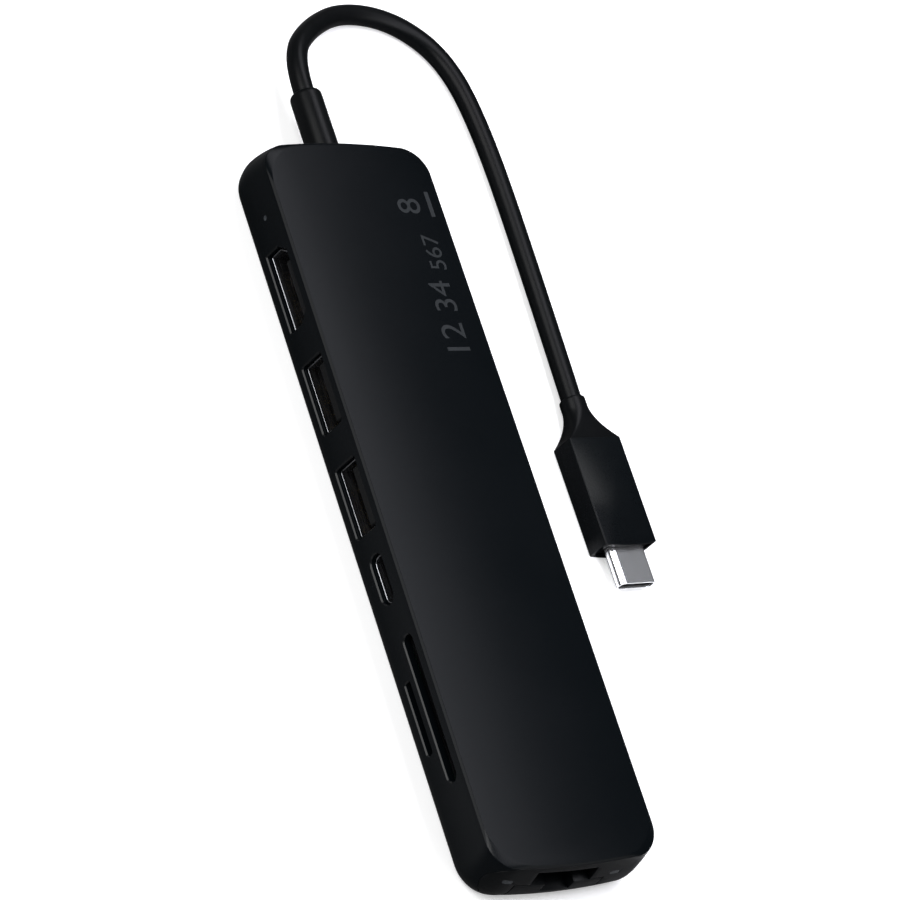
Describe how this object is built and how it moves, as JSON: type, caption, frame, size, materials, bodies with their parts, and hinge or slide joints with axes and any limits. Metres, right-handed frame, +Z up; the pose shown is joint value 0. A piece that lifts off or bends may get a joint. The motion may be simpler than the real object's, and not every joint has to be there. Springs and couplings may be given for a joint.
{
  "type": "usb hub",
  "caption": "Slim bar-shaped multiport hub with sockets along one side, a drop-jaw network socket at one end and a short captive lead with a plug.",
  "frame": {"origin": "middle of the hub's underside, where it rests", "axes": "+X along the hub to the Ethernet end, -Y the socket side, +Z up"},
  "size_m": [0.177, 0.0634, 0.011],
  "materials": {
    "anodised_black": "satin black anodised aluminium, finely blasted",
    "cap_plastic": "satin black moulded plastic",
    "tray_plastic": "dark grey moulded plastic",
    "circuit_board": "green solder mask",
    "steel": "plain steel",
    "socket_metal": "dark nickel plate",
    "socket_plastic": "black moulded plastic",
    "gold_contact": "thin gold plate",
    "light_guide": "clear frosted plastic",
    "chip_black": "black moulding compound",
    "capacitor_tan": "ceramic",
    "cord_jacket": "satin black elastomer",
    "plug_black": "satin black anodised aluminium",
    "plug_steel": "polished stainless steel"
  },
  "bodies": {
    "hub": {"housing_sleeve": "anodised_black", "ethernet_end_cap": "cap_plastic", "cable_end_cap": "cap_plastic", "board_tray": "tray_plastic", "main_board": "circuit_board", "board_screws": "steel", "hdmi_shell": "socket_metal", "hdmi_insulator": "socket_plastic", "hdmi_contacts": "gold_contact", "usb_a_shell_1": "socket_metal", "usb_a_insulator_1": "socket_plastic", "usb_a_contacts_1": "gold_contact", "usb_a_shell_2": "socket_metal", "usb_a_insulator_2": "socket_plastic", "usb_a_contacts_2": "gold_contact", "usb_c_socket_shell": "socket_metal", "usb_c_socket_tongue": "socket_plastic", "usb_c_riser": "circuit_board", "sd_cage": "socket_metal", "sd_contacts": "socket_plastic", "microsd_cage": "socket_metal", "microsd_contacts": "socket_plastic", "ethernet_jack": "socket_plastic", "ethernet_contacts": "gold_contact", "jaw_hinge_pin": "steel", "jaw_spring": "steel", "link_light_pipe": "light_guide", "activity_light_pipe": "light_guide", "status_light_pipe": "light_guide", "board_lights": "light_guide", "hub_chip": "chip_black", "display_chip": "chip_black", "ethernet_chip": "chip_black", "card_reader_chip": "chip_black", "power_chip": "chip_black", "ethernet_magnetics": "chip_black", "shield_can": "steel", "inductors": "chip_black", "crystals": "steel", "capacitors": "capacitor_tan", "strain_relief": "cord_jacket", "cord_inner_end": "cord_jacket", "cable_clamp": "tray_plastic", "clamp_screws": "steel", "cord_leads": "gold_contact", "usb_c_cord": "cord_jacket", "plug_boot": "cord_jacket", "plug_body": "plug_black", "plug_front": "cap_plastic", "plug_shell": "plug_steel", "plug_insulator": "socket_plastic", "plug_board": "circuit_board"},
    "jaw": {"ethernet_jaw": "cap_plastic"}
  },
  "joints": [
    {"name": "ethernet_jaw_hinge", "type": "hinge", "parent": "hub", "child": "jaw", "pos_m": [0.0572, -0.002, 0.002], "axis": [0, 1, 0], "range_deg": [0, 15], "stiffness_Nm_per_rad": 0.004, "springref_deg": -17.19}
  ]
}
